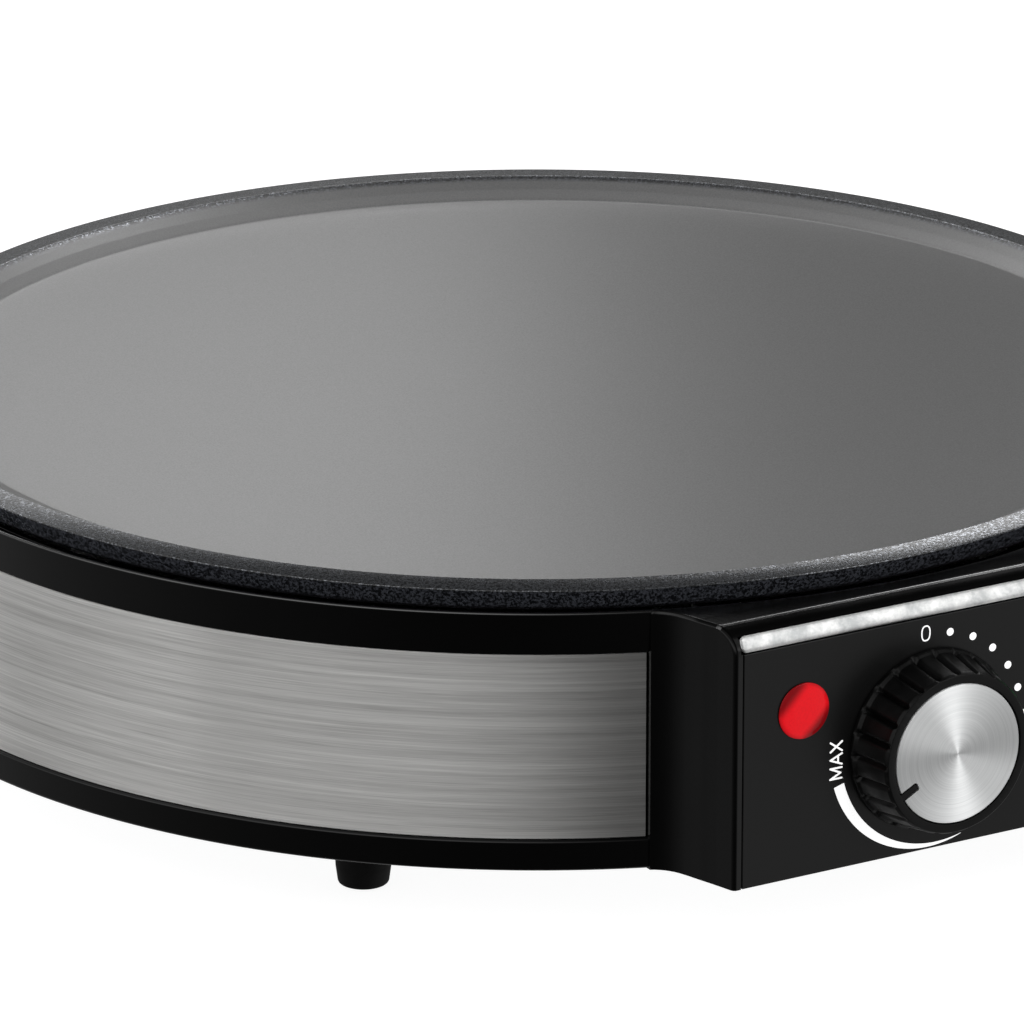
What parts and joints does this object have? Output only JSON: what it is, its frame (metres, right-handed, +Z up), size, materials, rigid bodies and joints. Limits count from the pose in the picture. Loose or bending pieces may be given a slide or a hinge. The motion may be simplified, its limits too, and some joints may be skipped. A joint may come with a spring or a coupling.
{
  "type": "electric griddle",
  "caption": "Round electric griddle: coated cast plate with a raised lip on a steel-banded black drum, with a boxed control panel, lamps and a turning knob.",
  "frame": {"origin": "centre of the overall box in plan, at the plane that the feet stand on; the plate's axis is 6.9 mm towards +Y", "axes": "+Z up along the plate's axis, -Y out through the control panel and the knob, +X to the right of the panel seen from the front"},
  "size_m": [0.31, 0.3368, 0.077],
  "materials": {
    "coating": "die-cast aluminium with a matt grey non-stick coating, speckled on the rim",
    "black_housing": "glossy black injection-moulded heat-resistant plastic",
    "panel_face": "satin black plastic with white printed dial marks",
    "steel_band": "stainless steel brushed round the drum",
    "trim_silver": "bright satin silver foil trim",
    "lens_red": "red translucent moulded lens",
    "lens_green": "green translucent moulded lens",
    "knob_black": "satin black moulded plastic, fluted grip",
    "spun_aluminium": "radially spun aluminium disc",
    "foot_rubber": "matt black moulded rubber",
    "gland_rubber": "satin black moulded bush",
    "sheet_steel": "plain galvanised sheet",
    "shield_aluminium": "pressed aluminised sheet",
    "element_sheath": "heat-tinted steel sheath",
    "zinc_plated": "zinc-plated steel",
    "ceramic_white": "unglazed white ceramic",
    "nylon_white": "natural nylon",
    "bakelite": "dark brown phenolic moulding",
    "copper": "drawn copper",
    "brass": "brass",
    "neon_glass": "clear neon lamp glass",
    "wire_brown": "brown insulated wire",
    "wire_blue": "blue insulated wire",
    "wire_earth": "green and yellow insulated wire",
    "wire_white": "white glass-sleeved wire"
  },
  "bodies": {
    "housing": {"cooking_plate": "coating", "heating_element": "element_sheath", "element_pin_a": "zinc_plated", "element_pin_b": "zinc_plated", "heat_shield": "shield_aluminium", "plate_stud_1": "zinc_plated", "ceramic_spacer_1": "ceramic_white", "stud_nut_1": "zinc_plated", "plate_stud_2": "zinc_plated", "ceramic_spacer_2": "ceramic_white", "stud_nut_2": "zinc_plated", "plate_stud_3": "zinc_plated", "ceramic_spacer_3": "ceramic_white", "stud_nut_3": "zinc_plated", "housing_shell": "black_housing", "steel_band": "steel_band", "front_panel": "panel_face", "trim_strip": "trim_silver", "lens_red": "lens_red", "lens_green": "lens_green", "lamp_holder_left": "nylon_white", "neon_lamp_left": "neon_glass", "lamp_lead_left": "wire_white", "lamp_holder_right": "nylon_white", "neon_lamp_right": "neon_glass", "lamp_lead_right": "wire_white", "thermostat_body": "bakelite", "thermostat_screw_a": "zinc_plated", "thermostat_screw_b": "zinc_plated", "sensor_bulb": "copper", "capillary_tube": "copper", "bulb_clip": "shield_aluminium", "thermal_fuse": "zinc_plated", "fuse_clip": "shield_aluminium", "terminal_block": "nylon_white", "neutral_lead": "wire_blue", "live_lead": "wire_brown", "switched_lead": "wire_white", "earth_lead": "wire_earth", "earth_tag": "brass", "earth_screw": "brass", "cord_gland": "gland_rubber", "bottom_cover": "sheet_steel", "foot_1": "foot_rubber", "foot_screw_1": "zinc_plated", "foot_2": "foot_rubber", "foot_screw_2": "zinc_plated", "foot_3": "foot_rubber", "foot_screw_3": "zinc_plated", "foot_4": "foot_rubber", "foot_screw_4": "zinc_plated", "cover_screw_1": "zinc_plated", "cover_screw_2": "zinc_plated"},
    "knob": {"knob_body": "knob_black", "knob_cap": "spun_aluminium", "thermostat_shaft": "zinc_plated"}
  },
  "joints": [
    {"name": "knob_turn", "type": "hinge", "parent": "housing", "child": "knob", "pos_m": [0, -0.1571, 0.0396], "axis": [0, -1, 0], "range_deg": [-11, 247]}
  ]
}
